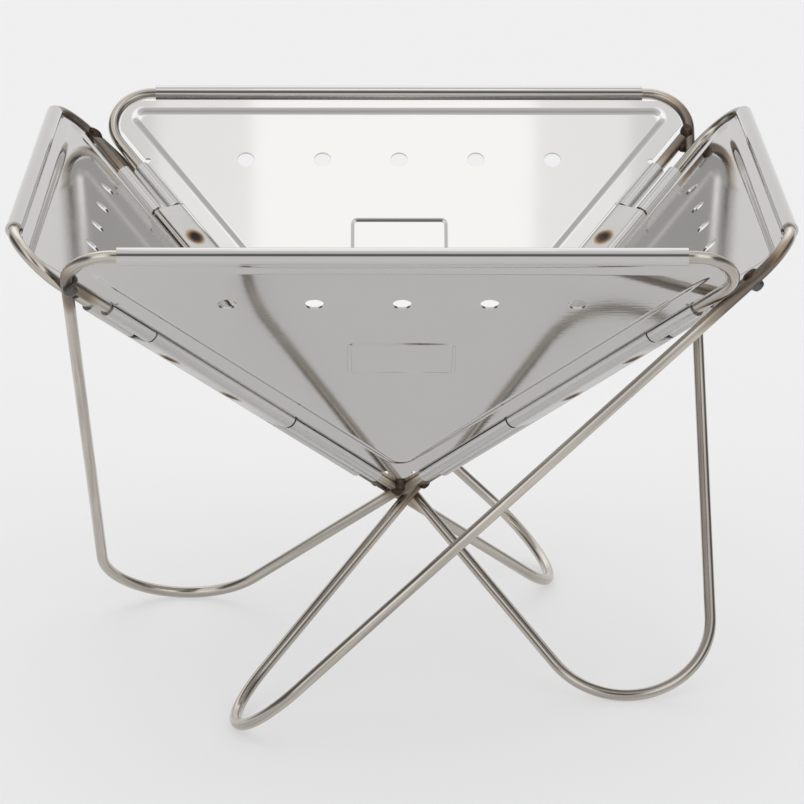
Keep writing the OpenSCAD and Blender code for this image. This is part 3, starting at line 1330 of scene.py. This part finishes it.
@dataclass
class HingeStrap:
    """A strap folded round the two rods of a corner, with two spot welds.

    The crown is a spot weld's profile: radius and height in millimetres, and heat.
    """

    bowl: Bowl
    corner: Corner
    weld_shares: tuple = (0.22, 0.66)
    crown: tuple = (
        (0.0, 0.14, 0.96),
        (1.6, 0.10, 1.0),
        (2.6, 0.20, 1.0),
        (3.4, 0.36, 0.86),
        (4.4, 0.16, 0.72),
        (5.6, 0.06, 0.55),
        (6.8, 0.03, 0.34),
        (7.6, 0.02, 0.1),
    )
    crown_steps: int = 40
    crown_join: float = 0.005 * MM
    bend_steps: int = 20
    lip_start: float = 0.02 * MM
    lip_root: float = 0.4 * MM
    lip_gap: float = 0.3 * MM
    lip_reach: float = 1.5 * MM
    lip_cut: float = 2 * MM
    sleeve_from: float = math.radians(-42)
    sleeve_to: float = math.radians(150)
    edge: float = 0.3 * MM

    @property
    def is_open(self) -> bool:
        """Whether this strap only laps over the next panel's rod."""
        return self.corner is Corner.BACK_LEFT

    def closed_strap(self) -> bmesh.types.BMesh:
        """Folds the strap round both rods.

        Returns:
            The strap in the strap frame.
        """
        bowl = self.bowl
        bm = bmesh.new()
        near = Vector((bowl.strap_s0, 0, 0))
        far = Vector((bowl.strap_s0, bowl.strap_pitch, 0))
        rise = Vector((0, 0, bowl.hem_r))
        near_ends = MeshTools.arc(bm, near + rise, near, (1, 0, 0), math.pi, self.bend_steps)
        far_ends = MeshTools.arc(bm, far - rise, far, (1, 0, 0), math.pi, self.bend_steps)
        bm.edges.new((near_ends[1], far_ends[0]))
        bm.edges.new((far_ends[1], near_ends[0]))
        MeshTools.pull(bm, bm.edges[:], Vector((bowl.strap_s1 - bowl.strap_s0, 0, 0)))
        MeshTools.outward(bm, lambda middle: Vector((middle.x, bowl.strap_pitch / 2, 0)))
        bmesh.ops.solidify(bm, geom=bm.faces[:], thickness=bowl.sheet_t)
        return bm

    def open_strap(self) -> bmesh.types.BMesh:
        """Makes a sleeve on the near rod with a lip over the far one.

        Returns:
            The strap in the strap frame.
        """
        bowl = self.bowl
        bm = SleeveMaker(bowl).rolled(bowl.strap_s0, bowl.strap_s1, 0.0, 2 * math.pi)
        lip_z = -bowl.rod_r - self.lip_gap
        low = (bowl.strap_s0 + self.lip_start, self.lip_root, -bowl.hem_r)
        MeshTools.block(bm, low, (bowl.strap_s1 - self.lip_cut, bowl.strap_pitch + self.lip_reach, lip_z))
        return bm

    def part_sleeve(self) -> bmesh.types.BMesh:
        """Makes the open corner's other half, on the next panel's rod.

        Returns:
            The part sleeve in the strap frame.
        """
        bowl = self.bowl
        sweep = self.sleeve_to - self.sleeve_from
        bm = SleeveMaker(bowl).rolled(bowl.strap_s0, bowl.strap_s1, self.sleeve_from, sweep)
        bmesh.ops.translate(bm, verts=bm.verts[:], vec=(0, bowl.strap_pitch, 0))
        return bm

    def spot_welds(self) -> bmesh.types.BMesh:
        """Makes the welds' crowns with their temper rings.

        Returns:
            The crowns in the strap frame, on the inner face and, on a closed strap, on the outer one.
        """
        bowl = self.bowl
        mesh = bmesh.new()
        mesh.verts.layers.float.new(HEAT)
        faces = (-1,) if self.is_open else (-1, 1)
        for share in self.weld_shares:
            s = bowl.strap_s0 + share * (bowl.strap_s1 - bowl.strap_s0)
            for face in faces:
                turn = Matrix.Rotation(0 if face > 0 else math.pi, 4, "X")
                seat = Matrix.Translation((s, bowl.strap_pitch / 2, face * bowl.hem_r))
                MeshTools.add(mesh, self._crown(), seat @ turn)
        return mesh

    def _crown(self) -> bmesh.types.BMesh:
        """Spins one weld's low crown from its profile.

        Returns:
            The crown on the XY plane.
        """
        bm = bmesh.new()
        layer = bm.verts.layers.float.new(HEAT)
        chain = []
        for radius, height, heat in self.crown:
            vert = bm.verts.new((radius * MM, 0, height * MM))
            vert[layer] = heat
            if chain:
                bm.edges.new((chain[-1], vert))
            chain.append(vert)
        bmesh.ops.spin(
            bm,
            geom=bm.verts[:] + bm.edges[:],
            cent=(0, 0, 0),
            axis=(0, 0, 1),
            angle=2 * math.pi,
            steps=self.crown_steps,
            use_merge=True,
        )
        bmesh.ops.remove_doubles(bm, verts=bm.verts[:], dist=self.crown_join)
        MeshTools.outward(bm, lambda middle: middle - Vector((0, 0, 1)))
        return bm

    def dress(self, dresser: Dresser) -> None:
        """Makes the strap, its welds and, at the open corner, the part sleeve.

        Args:
            dresser: Turns the meshes into pieces.
        """
        place = self.bowl.strap(self.corner.value)
        label = self.corner.label
        body = f"{label}_strap"
        strap = self.open_strap() if self.is_open else self.closed_strap()
        made = [
            (f"{label}_folded_strap", strap, f"{label}_hinge_strap", body, "sheet_steel", self.edge),
            (f"{label}_weld_crowns", self.spot_welds(), f"{label}_spot_welds", body, "weld_metal", 0.0),
        ]
        if self.is_open:
            sleeve = self.part_sleeve()
            node = "left_strap_sleeve"
            made.append(("left_part_sleeve", sleeve, node, "left_panel", "sheet_steel", self.edge))
        for name, mesh, node, rides_on, slot, edge_round in made:
            dresser.piece(name, mesh, place, node, rides_on, slot, ("strap_steel",), edge_round)


@dataclass(frozen=True)
class Studio:
    """Floor, light and the camera at the photograph's viewing angle.

    The camera's target and distance are in units of the rail's distance from the axis. A fade of the
    surrounding light is a rate and a start over a direction's depth, height or squared sideways part. A band
    is a height and a level.
    """

    bowl: Bowl
    target_x: float = 0.005
    target_drop: float = 0.665
    distance: float = 12.0
    pitch: float = math.radians(15.9)
    yaw: float = math.radians(0.33)
    roll: float = math.radians(0.12)
    focal_px: float = 4315.0
    picture_px: float = 804.0
    sensor_mm: float = 36.0
    clip_end: float = 100.0
    floor_half: float = 3.0
    floor_front: float = 0.95
    dome: float = 1.0
    box_widths: tuple = (0.25, 0.42, 0.6)
    box_deep: float = 0.27
    box_y: float = -0.04
    box_z: float = 1.25
    box_step: float = 0.01
    box_watts: float = 0.205
    aim_z: float = 0.2
    top: float = 0.83
    room_tone: tuple = (0.15, 0.15, 0.155)
    front_fade: tuple = (-1.6, -0.2)
    front_width: tuple = (-26.0, 1.3)
    front_bands: tuple = ((0.0, 0.0), (0.2, 0.0), (0.36, 1.0), (0.7, 1.0), (0.9, 0.0))
    side_fade: tuple = (5.0, -2.1)
    side_bands: tuple = ((0.0, 0.6), (0.25, 1.0), (0.6, 1.0), (0.82, 0.0))
    gap_depth: float = 0.22
    gap_width: tuple = (-60.0, 1.0)
    gap_height: tuple = (5.0, -4.0)
    gap_share: float = 0.75
    behind_tone: tuple = (1.6, 1.6, 1.6)
    behind_fade: tuple = (1.3, -0.1)
    behind_height: tuple = (3.0, -0.9)
    behind_width: tuple = (-4.0, 1.2)
    glow_tone: tuple = (1.35, 1.35, 1.35)
    glow_aside: tuple = (14.0, -0.5)
    glow_height: tuple = (5.0, -0.3)
    backdrop: tuple = (0.88, 0.88, 0.88)

    def floor(self) -> None:
        """Lays the pale floor."""
        bm = bmesh.new()
        bmesh.ops.create_grid(bm, x_segments=1, y_segments=1, size=self.floor_half)
        bmesh.ops.translate(bm, verts=bm.verts[:], vec=(0, self.floor_half - self.floor_front, 0))
        mesh = bpy.data.meshes.new("floor")
        bm.to_mesh(mesh)
        bm.free()
        mesh.materials.append(FloorFinish().make())
        floor = bpy.data.objects.new("floor", mesh)
        bpy.context.scene.collection.objects.link(floor)

    def lamp(self, name: str, at: tuple, size: tuple, watts: float) -> None:
        """Hangs one soft box that looks at the pit.

        Args:
            name: The lamp's name.
            at: Its place.
            size: Its width and height.
            watts: Its power.
        """
        light = bpy.data.lights.new(name, "AREA")
        light.shape = "RECTANGLE"
        light.size, light.size_y = size
        light.energy = watts
        lamp = bpy.data.objects.new(name, light)
        aim = Vector((0, 0, self.aim_z)) - Vector(at)
        lamp.rotation_euler = aim.to_track_quat("-Z", "Y").to_euler()
        lamp.location = at
        bpy.context.scene.collection.objects.link(lamp)

    def world(self) -> None:
        """Surrounds the pit with pale light and darker zones that the steel mirrors.

        The room is dark in front, at the sides and in a gap overhead. It is brighter behind the pit and on
        both sides of the front. The camera sees a pale backdrop instead.
        """
        world = bpy.data.worlds.new("studio")
        bpy.context.scene.world = world
        world.use_nodes = True
        maker = NodeMaker(world.node_tree)
        way = maker.node("ShaderNodeTexCoord", {}, {}, "Generated")
        across, depth, height = (maker.node("ShaderNodeSeparateXYZ", {}, {0: way}, axis) for axis in "XYZ")
        aside = across * across
        ahead = self._fade(depth, self.front_fade)
        front = ahead * self._bands(maker, height, self.front_bands) * self._fade(aside, self.front_width)
        sides = self._fade(aside, self.side_fade) * self._bands(maker, height, self.side_bands)
        off_gap = depth - self.gap_depth
        gap = self._fade(off_gap * off_gap, self.gap_width) * self._fade(height, self.gap_height)
        glow = ahead * self._fade(aside, self.glow_aside) * self._fade(height, self.glow_height)
        behind = self._fade(depth, self.behind_fade) * self._fade(height, self.behind_height)
        behind = behind * self._fade(aside, self.behind_width)
        pale = maker.mix(glow, (self.top, self.top, self.top, 1), (*self.glow_tone, 1))
        dark = (front + sides + gap * self.gap_share).clamped()
        room = maker.mix(dark, pale, (*self.room_tone, 1))
        around = maker.mix(behind, room, (*self.behind_tone, 1))
        seen = maker.node("ShaderNodeLightPath", {}, {}, "Is Camera Ray")
        colour = maker.mix(seen, around, (*self.backdrop, 1))
        light = maker.node("ShaderNodeBackground", {}, {"Color": colour, "Strength": self.dome})
        maker.show(light, "ShaderNodeOutputWorld")

    @staticmethod
    def _fade(value: Value, line: tuple) -> Value:
        """A value times a rate plus a start, held between 0 and 1."""
        return (value * line[0] + line[1]).clamped()

    @staticmethod
    def _bands(maker: NodeMaker, height: Value, levels: Sequence[tuple]) -> Value:
        """A grey ramp over the height of a direction."""
        return maker.ramp(height, [(place, (level, level, level)) for place, level in levels])

    def camera(self) -> None:
        """Sets the camera that was fitted to the photograph."""
        unit = self.bowl.rail_r
        data = bpy.data.cameras.new("camera")
        data.sensor_width = self.sensor_mm
        data.lens = self.sensor_mm * self.focal_px / self.picture_px
        data.clip_end = self.clip_end
        camera = bpy.data.objects.new("camera", data)
        target = Vector((self.target_x * unit, 0, self.bowl.rail_z - self.target_drop * unit))
        forward = Vector((0, math.cos(self.pitch), -math.sin(self.pitch)))
        place = Matrix.Translation(target - forward * self.distance * unit)
        tilt = Matrix.Rotation(QUARTER - self.pitch, 4, "X")
        swing = Matrix.Rotation(-self.yaw, 4, "Z")
        camera.matrix_world = swing @ place @ tilt @ Matrix.Rotation(self.roll, 4, "Z")
        bpy.context.scene.collection.objects.link(camera)
        bpy.context.scene.camera = camera

    def build(self) -> None:
        """Makes the whole studio."""
        self.floor()
        for number, wide in enumerate(self.box_widths):
            at = (0.0, self.box_y, self.box_z + self.box_step * number)
            self.lamp(f"overhead_{number}", at, (wide, self.box_deep), self.box_watts * wide)
        self.world()
        self.camera()
        bpy.context.scene.view_settings.view_transform = "Standard"


def main() -> None:
    """Builds every piece of the pit, then the studio."""
    logging.basicConfig(level=logging.INFO, format="%(name)s %(message)s")
    bowl = Bowl()
    dresser = Dresser()
    wire = WireFrame(bowl)
    sheet = PanelSheet(bowl)
    for side in Side:
        wire.dress(side, dresser)
        sheet.dress(side, dresser)
    for corner in Corner:
        HingeStrap(bowl, corner).dress(dresser)
    Studio(bowl).build()


if __name__ == "__main__":
    main()
